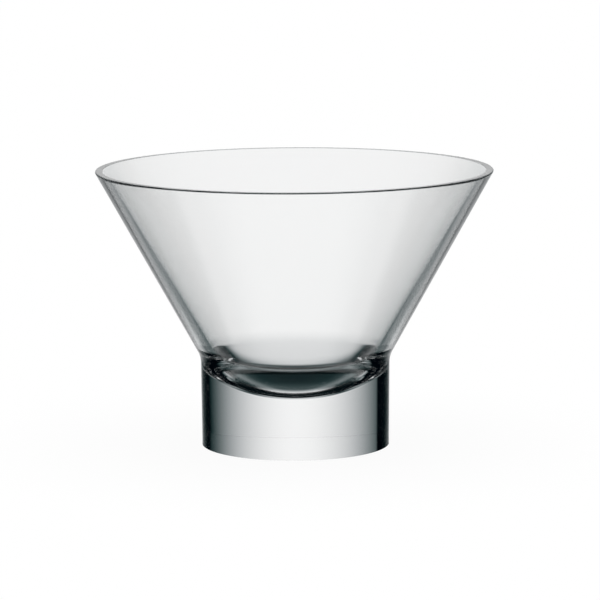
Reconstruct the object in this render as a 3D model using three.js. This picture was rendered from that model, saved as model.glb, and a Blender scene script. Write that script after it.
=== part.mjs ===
// Dessert glass: a straight conical bowl of thick clear glass, fused into the dished top of a heavy round foot.
// Millimetres, +Z up. The origin is the middle of the flat base, on the surface that the glass stands on.
import * as THREE from 'three';

// Bowl
const RIM_RADIUS = 64;
const HEIGHT = 89.5;
const RIM_WALL = 2.6; // level across the wall, at the lip
const NECK_WALL = 5.1; // level across the wall, where the cone meets the foot
const LIP_RADIUS = 0.7; // rounding of both edges of the lip

// Foot
const FOOT_RADIUS = 30.6; // at the neck, where the cone starts
const FOOT_DRAFT = 0.25; // how much narrower its radius is at the base, so that it leaves the mould
const FOOT_HEIGHT = 28.9; // from the base to the neck
const FLOOR_THICKNESS = 16.3; // solid glass under the middle of the bowl
const NECK_FILLET = 8.8;
const HEEL_RADIUS = 0.15;

// Clearance between the bowl's rounded bottom and its seat in the foot, where the two are fused
const SEAT_GAP = 0.3;

// Facets
const SIDES = 72; // round the axis
const CHORD_ERROR = 0.04; // how far a straight step may leave a rounded stretch of a profile

const RIGHT_ANGLE = Math.PI / 2;

// Points of a round stretch of a profile, as (radius from the axis, height)
function arc(centre, radius, from, to) {
  const longestStep = 2 * Math.acos(1 - CHORD_ERROR / radius);
  const steps = Math.max(2, Math.ceil(Math.abs(to - from) / longestStep));
  const points = [];
  for (let step = 0; step <= steps; step += 1) {
    const angle = from + ((to - from) * step) / steps;
    const reach = new THREE.Vector2(Math.cos(angle), Math.sin(angle));
    points.push(reach.multiplyScalar(radius).add(centre));
  }
  return points;
}

// The outer face of the cone: it leaves the neck corner and touches the rounding of the lip
function outerCone() {
  const neck = new THREE.Vector2(FOOT_RADIUS, FOOT_HEIGHT);
  const lip = new THREE.Vector2(RIM_RADIUS - LIP_RADIUS, HEIGHT - LIP_RADIUS);
  const run = lip.clone().sub(neck);
  const lean = Math.atan2(run.x, run.y) + Math.asin(LIP_RADIUS / run.length());
  const radiusAt = (height) => neck.x + (height - neck.y) * Math.tan(lean);
  return { neck, lip, lean, radiusAt };
}

// The inner face of the cone, set in from the outer one by the wall at the neck and at the lip
function innerCone(outer) {
  const atNeck = outer.neck.x - NECK_WALL;
  const atLip = outer.radiusAt(outer.lip.y) - RIM_WALL;
  const slope = (atLip - atNeck) / (outer.lip.y - outer.neck.y);
  const lean = Math.atan(slope);
  const apex = outer.neck.y - atNeck / slope;
  const lip = new THREE.Vector2(atLip + LIP_RADIUS / Math.cos(lean), outer.lip.y);
  return { lean, apex, lip };
}

// The rounded bottom of the bowl: the sphere that touches the inner cone and leaves the floor under it
function wellSphere(inner) {
  const lean = Math.sin(inner.lean);
  const radius = ((FLOOR_THICKNESS - inner.apex) * lean) / (1 - lean);
  const centre = new THREE.Vector2(0, FLOOR_THICKNESS + radius);
  return { centre, radius };
}

// The concave rounding at the neck, between the side of the foot and the outer face of the cone
function neckFillet(outer) {
  const draft = Math.atan(FOOT_DRAFT / FOOT_HEIGHT);
  const setback = NECK_FILLET * Math.tan((outer.lean - draft) / 2);
  const along = new THREE.Vector2(Math.sin(draft), Math.cos(draft));
  const outward = new THREE.Vector2(Math.cos(draft), -Math.sin(draft));
  const centre = outer.neck.clone().addScaledVector(along, -setback).addScaledVector(outward, NECK_FILLET);
  return { draft, centre, foot: Math.PI - draft, cone: Math.PI - outer.lean };
}

// Where a sphere about the well's centre cuts the neck rounding, as an angle about the rounding's centre
function cutOfFillet(fillet, well, radius) {
  const towardsWell = well.centre.clone().sub(fillet.centre);
  const span = towardsWell.length();
  const cosine = (NECK_FILLET ** 2 + span ** 2 - radius ** 2) / (2 * NECK_FILLET * span);
  return towardsWell.angle() + Math.acos(cosine);
}

// A round arc about the well's centre, from the axis out to a point on the neck rounding
function underside(well, radius, edge) {
  const reach = edge.clone().sub(well.centre);
  return arc(well.centre, radius, -RIGHT_ANGLE, Math.atan2(reach.y, reach.x));
}

// Turns a profile that runs from the axis to the axis into a closed body about +Z
function turned(profile) {
  const apart = profile.filter((point, index) => index === 0 || point.distanceTo(profile[index - 1]) > 1e-6);
  apart[0].setX(0);
  apart[apart.length - 1].setX(0);
  return new THREE.LatheGeometry(apart, SIDES).rotateX(RIGHT_ANGLE);
}

const outer = outerCone();
const inner = innerCone(outer);
const well = wellSphere(inner);
const fillet = neckFillet(outer);

// The two pieces meet on a sphere about the well's centre, which comes out in the middle of the neck rounding
const seamAngle = (fillet.foot + fillet.cone) / 2;
const seamEdge = arc(fillet.centre, NECK_FILLET, fillet.cone, seamAngle).at(-1);
const seamRadius = seamEdge.distanceTo(well.centre);

// Conical wall with a rounded lip and its own rounded bottom
function bowl() {
  return turned([
    ...underside(well, seamRadius, seamEdge),
    ...arc(fillet.centre, NECK_FILLET, seamAngle, fillet.cone),
    ...arc(outer.lip, LIP_RADIUS, -outer.lean, RIGHT_ANGLE),
    ...arc(inner.lip, LIP_RADIUS, RIGHT_ANGLE, Math.PI - inner.lean),
    ...arc(well.centre, well.radius, -inner.lean, -RIGHT_ANGLE),
  ]);
}

// Solid cylinder with a flat base, a small heel rounding and a dished seat on top
function foot() {
  const seatRadius = seamRadius + SEAT_GAP;
  const seatAngle = cutOfFillet(fillet, well, seatRadius);
  const side = arc(fillet.centre, NECK_FILLET, fillet.foot, seatAngle);
  const heelWall = FOOT_RADIUS - FOOT_DRAFT + HEEL_RADIUS * Math.tan(fillet.draft);
  const heel = new THREE.Vector2(heelWall - HEEL_RADIUS / Math.cos(fillet.draft), HEEL_RADIUS);
  return turned([
    new THREE.Vector2(0, 0),
    ...arc(heel, HEEL_RADIUS, -RIGHT_ANGLE, -fillet.draft),
    ...side,
    ...underside(well, seatRadius, side.at(-1)).reverse(),
  ]);
}

function glassMesh(name, geometry) {
  const clearGlass = new THREE.MeshStandardMaterial({
    color: 0xe8f0ee,
    roughness: 0.03,
    metalness: 0,
    transparent: true,
    opacity: 0.35,
  });
  const mesh = new THREE.Mesh(geometry, clearGlass);
  mesh.name = name;
  return mesh;
}

const glass = new THREE.Group();
glass.add(glassMesh('foot', foot()));
glass.add(glassMesh('bowl', bowl()));

export default glass;
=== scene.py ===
"""Dessert glass: a conical bowl of thick clear glass, fused into the dished top of a heavy round foot."""
from math import asin, atan, atan2, cos, exp, hypot, pi, radians, sin, tan

import bpy
from mathutils import Matrix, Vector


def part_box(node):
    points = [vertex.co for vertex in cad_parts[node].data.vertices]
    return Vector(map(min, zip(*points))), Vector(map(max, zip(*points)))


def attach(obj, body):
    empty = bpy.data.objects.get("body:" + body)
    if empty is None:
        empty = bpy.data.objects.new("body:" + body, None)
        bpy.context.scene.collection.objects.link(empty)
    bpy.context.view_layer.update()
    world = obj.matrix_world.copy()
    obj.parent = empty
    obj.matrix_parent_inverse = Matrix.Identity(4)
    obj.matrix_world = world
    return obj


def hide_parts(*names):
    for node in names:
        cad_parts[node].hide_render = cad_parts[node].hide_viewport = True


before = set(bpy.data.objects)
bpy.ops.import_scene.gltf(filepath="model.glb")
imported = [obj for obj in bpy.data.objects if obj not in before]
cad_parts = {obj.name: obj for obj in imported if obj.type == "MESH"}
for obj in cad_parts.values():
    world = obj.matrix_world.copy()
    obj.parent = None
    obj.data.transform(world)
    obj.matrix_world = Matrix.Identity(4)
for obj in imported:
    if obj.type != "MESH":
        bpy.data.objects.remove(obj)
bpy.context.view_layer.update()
scene = bpy.context.scene


# Foot: a heavy solid cylinder of clear glass with a flat base and a dished top.
# It is formed in a mould, so its side has a slight draft. The bowl is fused into the dish while both
# are hot, and no air is left between the two.

MM = 0.001
rim_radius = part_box("bowl")[1].x
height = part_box("bowl")[1].z
foot_radius = 30.6 * MM  # at the neck, where the cone starts
foot_draft = 0.25 * MM  # how much narrower its radius is at the base
foot_height = 28.9 * MM  # from the base to the neck
floor_thickness = 16.3 * MM  # solid glass under the middle of the bowl
neck_fillet = 8.8 * MM
heel_radius = 0.02 * MM
lip_radius = 0.35 * MM
rim_wall = 2.6 * MM  # level across the wall, at the lip
neck_wall = 5.1 * MM  # level across the wall, where the cone meets the foot
fused_gap = 0.02 * MM
glass_ior = 1.52
glass_tint = (0.998, 1.0, 0.999, 1.0)
haze_roughness = 0.008  # where the haze is strongest
haze_reach = (0.45, 0.8)  # the noise levels at which the haze starts and is strongest
haze_detail = 3.0
foot_haze_scale = 30.0
facets_round = 480
heel_steps = 6
fillet_steps = 10
seam_steps = 24
crease_angle = radians(35)
end_inset = 0.005 * MM

# The outer face of the cone leaves the neck corner and touches the rounding of the lip.
outer_lip = (rim_radius - lip_radius, height - lip_radius)
cone_run = (outer_lip[0] - foot_radius, outer_lip[1] - foot_height)
outer_lean = atan2(*cone_run) + asin(lip_radius / hypot(*cone_run))

# The inner face is set in by the wall, and a sphere that touches it is the bottom of the bowl.
inner_at_neck = foot_radius - neck_wall
inner_at_lip = foot_radius + cone_run[1] * tan(outer_lean) - rim_wall
inner_lean = atan((inner_at_lip - inner_at_neck) / cone_run[1])
inner_lip = (inner_at_lip + lip_radius / cos(inner_lean), outer_lip[1])
cone_tip = foot_height - inner_at_neck / tan(inner_lean)
well_radius = (floor_thickness - cone_tip) * sin(inner_lean) / (1 - sin(inner_lean))
well_centre = (0.0, floor_thickness + well_radius)


def on_arc(centre, radius, turn):
    """A point of a round stretch of a profile, as (radius from the axis, height)."""
    return (centre[0] + radius * cos(turn), centre[1] + radius * sin(turn))


def arc(centre, radius, start, end, steps):
    """Points of a round stretch of a profile."""
    return [on_arc(centre, radius, start + (end - start) * step / steps) for step in range(steps + 1)]


def straight(start, end, steps=1):
    """Points of a straight stretch of a profile. Its ends are set in a little, so that it shades flat."""
    run = (end[0] - start[0], end[1] - start[1])
    inset = end_inset / hypot(*run)
    parts = [inset, *(step / steps for step in range(1, steps)), 1 - inset]
    return [(start[0] + run[0] * part, start[1] + run[1] * part) for part in parts]


# The neck rounding runs from the side of the foot to the cone, and the seam comes out in its middle.
draft = atan(foot_draft / foot_height)
setback = neck_fillet * tan((outer_lean - draft) / 2)
fillet_centre = (
    foot_radius - setback * sin(draft) + neck_fillet * cos(draft),
    foot_height - setback * cos(draft) - neck_fillet * sin(draft),
)
seam_turn = pi - (draft + outer_lean) / 2
seam_edge = on_arc(fillet_centre, neck_fillet, seam_turn)
seam_radius = hypot(seam_edge[0], seam_edge[1] - well_centre[1])


def turned(name, profile, seam):
    """A closed body turned about the axis from a profile. The seam is a range of the profile's steps."""
    points, rings, faces, finishes = [], [], [], []
    for radius, level in profile:
        count = facets_round if radius > 0 else 1
        rings.append(range(len(points), len(points) + count))
        for facet in range(count):
            angle = 2 * pi * facet / facets_round
            points.append((radius * cos(angle), radius * sin(angle), level))
    for step, (low, high) in enumerate(zip(rings, rings[1:])):
        for facet in range(facets_round):
            after = (facet + 1) % facets_round
            corners = [low[facet % len(low)], low[after % len(low)]]
            corners += [high[after % len(high)], high[facet % len(high)]]
            faces.append(list(dict.fromkeys(corners)))
            finishes.append(int(step in seam))
    mesh = bpy.data.meshes.new(name)
    mesh.from_pydata(points, [], faces)
    mesh.polygons.foreach_set("material_index", finishes)
    mesh.shade_smooth()
    mesh.set_sharp_from_angle(angle=crease_angle)
    piece = bpy.data.objects.new(name, mesh)
    scene.collection.objects.link(piece)
    return piece


def clear_glass(name, haze_scale):
    """Clear polished glass with the faint uneven haze that moulded glass has."""
    material = bpy.data.materials.new(name)
    material.use_nodes = True
    nodes, links = material.node_tree.nodes, material.node_tree.links
    glass = nodes["Principled BSDF"]
    glass.inputs["Base Color"].default_value = glass_tint
    glass.inputs["IOR"].default_value = glass_ior
    glass.inputs["Transmission Weight"].default_value = 1.0
    place = nodes.new("ShaderNodeTexCoord")
    haze = nodes.new("ShaderNodeTexNoise")
    haze.inputs["Scale"].default_value = haze_scale
    haze.inputs["Detail"].default_value = haze_detail
    links.new(place.outputs["Object"], haze.inputs["Vector"])
    haze_level = nodes.new("ShaderNodeMapRange")
    haze_level.inputs["From Min"].default_value = haze_reach[0]
    haze_level.inputs["From Max"].default_value = haze_reach[1]
    haze_level.inputs["To Max"].default_value = haze_roughness
    links.new(haze.outputs["Fac"], haze_level.inputs["Value"])
    links.new(haze_level.outputs["Result"], glass.inputs["Roughness"])
    return material


base_edge = (foot_radius - foot_draft - heel_radius, 0.0)
foot_outside = [
    (0.0, 0.0),
    *straight((0.0, 0.0), base_edge),
    *arc((base_edge[0], heel_radius), heel_radius, -pi / 2, -draft, heel_steps),
    *straight((foot_radius - foot_draft, heel_radius), on_arc(fillet_centre, neck_fillet, pi - draft)),
    *arc(fillet_centre, neck_fillet, pi - draft, seam_turn, fillet_steps),
]
dish_radius = seam_radius + fused_gap
dish_turn = atan2(seam_edge[1] - fused_gap - well_centre[1], seam_edge[0])
foot_dish = [
    *arc(well_centre, dish_radius, dish_turn, -pi / 2, seam_steps)[1:-1],
    (0.0, well_centre[1] - dish_radius),
]
dish_start = len(foot_outside) - 1
foot = turned("solid_foot", foot_outside + foot_dish, range(dish_start, dish_start + len(foot_dish)))
foot.data.materials.append(clear_glass("foot_clear_glass", foot_haze_scale))

# Light goes straight through the fused seam.
fused = bpy.data.materials.new("fused_seam")
fused.use_nodes = True
fused_nodes = fused.node_tree.nodes
fused_nodes.remove(fused_nodes["Principled BSDF"])
fused_through = fused_nodes.new("ShaderNodeBsdfTransparent")
fused.node_tree.links.new(fused_through.outputs["BSDF"], fused_nodes["Material Output"].inputs["Surface"])
foot.data.materials.append(fused)
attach(foot, "root")
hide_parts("foot")


# Bowl: a straight conical wall of thick clear glass, with a softly rounded lip and a rounded bottom.
# It is pressed or blown in a mould, and its lip is fire-polished. Its underside is fused into the dish of
# the foot.

bowl_haze_scale = 22.0
cone_steps = 45
outer_lip_steps = 14
inner_lip_steps = 12
well_steps = 50

underside_turn = atan2(seam_edge[1] - well_centre[1], seam_edge[0])
bowl_underside = [
    (0.0, well_centre[1] - seam_radius),
    *arc(well_centre, seam_radius, -pi / 2, underside_turn, seam_steps)[1:],
]
bowl_outside = [
    *arc(fillet_centre, neck_fillet, seam_turn, pi - outer_lean, fillet_steps)[1:],
    *straight(
        on_arc(fillet_centre, neck_fillet, pi - outer_lean),
        on_arc(outer_lip, lip_radius, -outer_lean),
        cone_steps,
    ),
    *arc(outer_lip, lip_radius, -outer_lean, pi / 2, outer_lip_steps),
]
bowl_inside = [
    *arc(inner_lip, lip_radius, pi / 2, pi - inner_lean, inner_lip_steps),
    *straight(
        on_arc(inner_lip, lip_radius, pi - inner_lean),
        on_arc(well_centre, well_radius, -inner_lean),
        cone_steps,
    ),
    *arc(well_centre, well_radius, -inner_lean, -pi / 2, well_steps)[:-1],
    (0.0, floor_thickness),
]
lip_top = straight((outer_lip[0], height), (inner_lip[0], height))
bowl = turned(
    "cone_bowl",
    bowl_underside + bowl_outside + lip_top + bowl_inside,
    range(len(bowl_underside) - 1),
)
bowl.data.materials.append(clear_glass("bowl_clear_glass", bowl_haze_scale))
bowl.data.materials.append(fused)
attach(bowl, "root")
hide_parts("bowl")


# Floor: a plain white sheet that the glass stands on, under one wide soft lamp.
# It is white to the eye and keeps a faint soft shadow. The glass itself shows the table and the studio
# of the next sections in its place.

floor_reach = 6.0
floor_drop = 0.2 * MM
shadow_share = 0.05  # how much of the sheet's white comes from the lamp, and so can be shaded
lamp_strength = pi  # lights a white sheet to full white
lamp_spread = radians(70)

floor_mesh = bpy.data.meshes.new("floor")
floor_mesh.from_pydata(
    [(floor_reach * x, floor_reach * y, 0.0) for x, y in ((-1, -1), (1, -1), (1, 1), (-1, 1))],
    [],
    [(0, 1, 2, 3)],
)
floor = bpy.data.objects.new("floor", floor_mesh)
floor.location.z = -floor_drop
floor.visible_glossy = False
floor.visible_transmission = False
scene.collection.objects.link(floor)
sheet = bpy.data.materials.new("white_sheet")
sheet.use_nodes = True
sheet_nodes, sheet_links = sheet.node_tree.nodes, sheet.node_tree.links
sheet_nodes.remove(sheet_nodes["Principled BSDF"])
sheet_white = sheet_nodes.new("ShaderNodeEmission")
sheet_white.inputs["Strength"].default_value = 1.0
sheet_lit = sheet_nodes.new("ShaderNodeBsdfDiffuse")
sheet_lit.inputs["Color"].default_value = (1.0, 1.0, 1.0, 1.0)
sheet_mix = sheet_nodes.new("ShaderNodeMixShader")
sheet_mix.inputs["Fac"].default_value = shadow_share
sheet_links.new(sheet_white.outputs["Emission"], sheet_mix.inputs[1])
sheet_links.new(sheet_lit.outputs["BSDF"], sheet_mix.inputs[2])
sheet_links.new(sheet_mix.outputs["Shader"], sheet_nodes["Material Output"].inputs["Surface"])
floor_mesh.materials.append(sheet)

lamp = bpy.data.lights.new("overhead_lamp", "SUN")
lamp.energy = lamp_strength
lamp.angle = lamp_spread
overhead_lamp = bpy.data.objects.new("overhead_lamp", lamp)
overhead_lamp.visible_glossy = False
overhead_lamp.visible_transmission = False
scene.collection.objects.link(overhead_lamp)


# Table under the base: a dark disc, which only the glass shows. Its glow is painted light, not a lamp.
# Seen steeply it is nearly black. Seen at a low angle it glows with a painted reflection of the light behind
# it, most of all in its middle, and near its edge it is darker with painted shade, as if the foot shaded it.

table_radius = foot_radius
table_drop = 0.1 * MM
table_facets = 96
# The middle and edge ramps of painted reflection blend across middle_reach, and painted shade dims the glow
# across shaded_edge.
middle_reach = (0.25 * table_radius, 0.5 * table_radius)
shaded_edge = (0.83 * table_radius, 0.9 * table_radius)
edge_strength = 0.25

# Painted reflection on the table, as (slant, level): slant 0 looks straight down on it, and 1 looks along
# it.
middle_painted_reflection = (
    (0.02, 0.01), (0.05, 0.045), (0.2, 0.06), (0.33, 0.06),
    (0.38, 0.1), (0.44, 0.19), (0.54, 0.36), (0.7, 0.75),
)
edge_painted_reflection = (
    (0.02, 0.012), (0.15, 0.024), (0.25, 0.05), (0.33, 0.13),
    (0.39, 0.19), (0.46, 0.18), (0.55, 0.07), (0.68, 0.03),
)

# The greys of the studio lean to a greener blue: they hold less red, a little more blue, and no full black.
red_loss = 0.047
red_loss_fade = 1.2
red_loss_start = 0.06
blue_gain = 0.12
least_light = (0.0003, 0.001, 0.0022)


def cool(level):
    """Colour of a light level: white when full, and a greener blue the dimmer it is."""
    level = min(level, 1.0)
    less_red = red_loss * (1 - level) ** red_loss_fade * level / (level + red_loss_start)
    more_blue = blue_gain * (level * (1 - level)) ** 2
    red, green, blue = least_light
    return (level - less_red + red, level + green, level + more_blue + blue, 1.0)


table_angles = [2 * pi * facet / table_facets for facet in range(table_facets)]
table_mesh = bpy.data.meshes.new("table_under_base")
table_mesh.from_pydata(
    [(table_radius * cos(angle), table_radius * sin(angle), 0.0) for angle in table_angles],
    [],
    [tuple(range(table_facets))],
)
table = bpy.data.objects.new("table_under_base", table_mesh)
table.location.z = -table_drop
table.visible_camera = False
table.visible_diffuse = False
table.visible_shadow = False
scene.collection.objects.link(table)
table_painted_light = bpy.data.materials.new("table_painted_reflection_and_shade")
table_painted_light.use_nodes = True
table_nodes, table_links = table_painted_light.node_tree.nodes, table_painted_light.node_tree.links
table_nodes.remove(table_nodes["Principled BSDF"])
table_glow = table_nodes.new("ShaderNodeEmission")
table_slant = table_nodes.new("ShaderNodeLayerWeight")
table_slant.inputs["Blend"].default_value = 0.5
table_mix = table_nodes.new("ShaderNodeMix")
table_mix.data_type = "RGBA"
mix_inputs = [socket for socket in table_mix.inputs if socket.type == "RGBA"]
mix_output = next(socket for socket in table_mix.outputs if socket.type == "RGBA")
# Painted reflection: the disc's glow follows the slant of the ray, and is brightest at a low angle.
for mix_input, levels in zip(mix_inputs, (middle_painted_reflection, edge_painted_reflection)):
    painted_sheen = table_nodes.new("ShaderNodeValToRGB")
    stops = painted_sheen.color_ramp.elements
    for slant, level in levels:
        stops.new(slant).color = cool(level)
    stops.remove(stops[0])
    stops.remove(stops[-1])
    table_links.new(table_slant.outputs["Facing"], painted_sheen.inputs["Fac"])
    table_links.new(painted_sheen.outputs["Color"], mix_input)
table_links.new(mix_output, table_glow.inputs["Color"])
table_place = table_nodes.new("ShaderNodeTexCoord")
from_axis = table_nodes.new("ShaderNodeVectorMath")
from_axis.operation = "LENGTH"
table_links.new(table_place.outputs["Object"], from_axis.inputs[0])
outwards = table_nodes.new("ShaderNodeMapRange")
outwards.inputs["From Min"].default_value = middle_reach[0]
outwards.inputs["From Max"].default_value = middle_reach[1]
table_links.new(from_axis.outputs["Value"], outwards.inputs["Value"])
table_links.new(outwards.outputs["Result"], table_mix.inputs["Factor"])
# Painted shade: the disc's glow drops near its edge, as if the foot shaded it.
edge_shade = table_nodes.new("ShaderNodeMapRange")
edge_shade.inputs["From Min"].default_value = shaded_edge[0]
edge_shade.inputs["From Max"].default_value = shaded_edge[1]
edge_shade.inputs["To Min"].default_value = 1.0
edge_shade.inputs["To Max"].default_value = edge_strength
table_links.new(from_axis.outputs["Value"], edge_shade.inputs["Value"])
table_links.new(edge_shade.outputs["Result"], table_glow.inputs["Strength"])
table_links.new(table_glow.outputs["Emission"], table_nodes["Material Output"].inputs["Surface"])
table_mesh.materials.append(table_painted_light)


# Camera: a long lens a little above the rim, which looks down on the glass by about nine degrees.
# It has a very slight roll, and its shift puts the glass where it stands in the photograph's frame.

view_height = 44 * MM
view_distance = 1.15
view_pitch = radians(8.88)
view_roll = radians(-0.3)
photo_width = 600
photo_focal = 3555
photo_axis = (295.0, 308.8)

lens = bpy.data.cameras.new("camera")
lens.sensor_width = 36.0
lens.lens = lens.sensor_width * photo_focal / photo_width
lens.shift_x = (photo_width / 2 - photo_axis[0]) / photo_width
lens.shift_y = (photo_axis[1] - photo_width / 2) / photo_width
lens.clip_end = 50.0
camera = bpy.data.objects.new("camera", lens)
camera_place = (0.0, -view_distance * cos(view_pitch), view_height + view_distance * sin(view_pitch))
camera.matrix_world = (
    Matrix.Translation(camera_place)
    @ Matrix.Rotation(pi / 2 - view_pitch, 4, "X")
    @ Matrix.Rotation(view_roll, 4, "Z")
)
scene.collection.objects.link(camera)
scene.camera = camera


# Studio: glass has no colour of its own and shows what stands round it. So the room is a dark dome, with
# a wide lit screen behind the glass, a strip of light above that, lit tables below and in front, and dark
# flags at both sides that draw the edges. It turns with the camera, as when the glass is on a turntable.

dome_radius = 12.0
side_step = 2
turn_step = 1

# Directions are in degrees from straight behind the glass: side goes to the right, and turn goes up.
# First the screen, as seen through the glass. Its width and its edge differ on the left and the right.
screen_width = (80.0, 75.0)
screen_fall = 3.77
screen_edge = (49.6, 56.9)
flag_blur = 2.0
upper_dimming = (0.0, 9.0, 0.03)
screen_top = (21.5, 26.5)
high_strip = (35.5, 47.0, 0.6)
strip_blur = 2.0
screen_dimming_start = -1.5
screen_foot = (-41.0, -52.0)
screen_foot_level = 0.72
screen_foot_rise = 0.33
screen_taper = (-14.0, -32.5)
screen_foot_width = 21.5

# Pools of light at both sides, as (side, spread, turn, spread, strength), and the tables.
side_pools = (
    (30.0, 10.5, -27.0, 8.0, 0.4),
    (27.0, 9.0, -47.0, 8.0, 0.36),
    (18.0, 14.0, -64.0, 9.0, 0.18),
)
side_table_sides = (42.0, 57.0)
side_table_turns = (-64.0, -29.0)
side_table_level = 0.3
side_table_blur = 4.0
table_blur = 6.0
front_table_turns = (-115.0, -90.5)
front_table_fade = (16.8, 39.2)

# What the outer faces mirror: the front table, the screen, the low band under it, the floor and the ceiling.
mirrored_table_turns = (-141.0, -84.0)
mirrored_table_fade = (51.0, 71.0)
mirrored_screen_spread = 18.7
mirrored_screen_level = 0.85
mirrored_screen_ends = (15, 35)
low_band_start = (12, 16)
low_band_end = (28, 38)
low_band_fade = (27, 36)
low_band_level = 0.2
near_floor_start = (145, 155)
near_floor_fade = (20, 50)
near_floor_level = 0.13
ceiling_start = (35, 45)
ceiling_level = 0.02


def soft_step(value, start, end):
    """0 before start, 1 after end, and smooth between them."""
    part = min(max((value - start) / (end - start), 0.0), 1.0)
    return part * part * (3 - 2 * part)


def within(value, ends, blur):
    """1 between two ends and 0 outside them, with both ends blurred."""
    start, end = ends
    return soft_step(value, start - blur, start + blur) * (1 - soft_step(value, end - blur, end + blur))


def seen_through(side, turn):
    """Light that comes through the glass from a direction."""
    full_width = screen_width[side > 0]
    edge = screen_edge[side > 0]
    side = abs(side)
    narrowing = soft_step(-turn, -screen_taper[0], -screen_taper[1])
    width = full_width + (screen_foot_width - full_width) * narrowing
    level = cos(min(side / width, 1.0) * pi / 2) ** screen_fall
    level *= 1 - soft_step(side, edge - flag_blur, edge)
    *dimming_turns, dimming = upper_dimming
    level *= 1 - dimming * soft_step(turn, *dimming_turns)
    *strip_turns, strip_level = high_strip
    level *= 1 - (1 - strip_level * within(turn, strip_turns, strip_blur)) * soft_step(turn, *screen_top)
    level *= 1 - (1 - screen_foot_level) * soft_step(-turn, -screen_dimming_start, -screen_foot[0])
    level *= 1 - soft_step(-turn + screen_foot_rise * side, -screen_foot[0], -screen_foot[1])
    for pool_side, side_spread, pool_turn, turn_spread, strength in side_pools:
        away = ((side - pool_side) / side_spread) ** 2 + ((turn - pool_turn) / turn_spread) ** 2
        level += strength * exp(-away)
    side_table = within(side, side_table_sides, side_table_blur) * within(turn, side_table_turns, table_blur)
    front_table = within(turn, front_table_turns, table_blur) * (1 - soft_step(side, *front_table_fade))
    return level + side_table_level * side_table + front_table


def mirrored(side, turn):
    """Light that the outer faces mirror from a direction."""
    side = abs(side)
    front_table = within(turn, mirrored_table_turns, table_blur)
    front_table *= 1 - soft_step(side, *mirrored_table_fade)
    screen = exp(-((side / mirrored_screen_spread) ** 2)) * (1 - soft_step(abs(turn), *mirrored_screen_ends))
    low_band = soft_step(-turn, *low_band_start) * (1 - soft_step(-turn, *low_band_end))
    low_band *= 1 - soft_step(side, *low_band_fade)
    near_floor = soft_step(-turn, *near_floor_start) * (1 - soft_step(side, *near_floor_fade))
    level = front_table + mirrored_screen_level * screen + low_band_level * low_band
    return level + near_floor_level * near_floor + ceiling_level * soft_step(turn, *ceiling_start)


dome_sides = range(-90, 91, side_step)
dome_turns = range(-180, 181, turn_step)
directions = [(side, turn) for turn in dome_turns for side in dome_sides]
across = len(dome_sides)
dome_mesh = bpy.data.meshes.new("studio_dome")
dome_mesh.from_pydata(
    [
        (
            dome_radius * sin(radians(side)),
            dome_radius * cos(radians(side)) * cos(radians(turn)),
            dome_radius * cos(radians(side)) * sin(radians(turn)),
        )
        for side, turn in directions
    ],
    [],
    [
        (row + step, row + step + 1, row + across + step + 1, row + across + step)
        for row in range(0, across * (len(dome_turns) - 1), across)
        for step in range(across - 1)
    ],
)
for name, light in (("seen_through", seen_through), ("mirrored", mirrored)):
    painted = dome_mesh.color_attributes.new(name, "FLOAT_COLOR", "POINT")
    for spot, direction in zip(painted.data, directions):
        spot.color = cool(light(*direction))
dome = bpy.data.objects.new("studio_dome", dome_mesh)
scene.collection.objects.link(dome)
dome.location.z = view_height
dome.parent = camera
dome.matrix_parent_inverse = camera.matrix_world.inverted()
dome.visible_camera = False
dome.visible_diffuse = False
dome.visible_shadow = False
dome_light = bpy.data.materials.new("studio_light")
dome_light.use_nodes = True
dome_nodes, dome_links = dome_light.node_tree.nodes, dome_light.node_tree.links
dome_nodes.remove(dome_nodes["Principled BSDF"])
dome_glow = dome_nodes.new("ShaderNodeEmission")
dome_glow.inputs["Strength"].default_value = 1.0
dome_pick = dome_nodes.new("ShaderNodeMix")
dome_pick.data_type = "RGBA"
dome_ray = dome_nodes.new("ShaderNodeLightPath")
dome_links.new(dome_ray.outputs["Is Transmission Ray"], dome_pick.inputs["Factor"])
pick_inputs = [socket for socket in dome_pick.inputs if socket.type == "RGBA"]
pick_output = next(socket for socket in dome_pick.outputs if socket.type == "RGBA")
for pick_input, name in zip(pick_inputs, ("mirrored", "seen_through")):
    painted = dome_nodes.new("ShaderNodeAttribute")
    painted.attribute_name = name
    dome_links.new(painted.outputs["Color"], pick_input)
dome_links.new(pick_output, dome_glow.inputs["Color"])
dome_links.new(dome_glow.outputs["Emission"], dome_nodes["Material Output"].inputs["Surface"])
dome_mesh.materials.append(dome_light)

world = bpy.data.worlds.new("white_room")
world.use_nodes = True
world_nodes = world.node_tree.nodes
world_nodes["Background"].inputs["Color"].default_value = (1.0, 1.0, 1.0, 1.0)
world_ray = world_nodes.new("ShaderNodeLightPath")
world.node_tree.links.new(world_ray.outputs["Is Camera Ray"], world_nodes["Background"].inputs["Strength"])
scene.world = world

# Light bounces many times inside thick glass.
scene.cycles.max_bounces = 128
scene.cycles.transmission_bounces = 128
scene.cycles.glossy_bounces = 128
scene.cycles.transparent_max_bounces = 32
scene.view_settings.view_transform = "Standard"
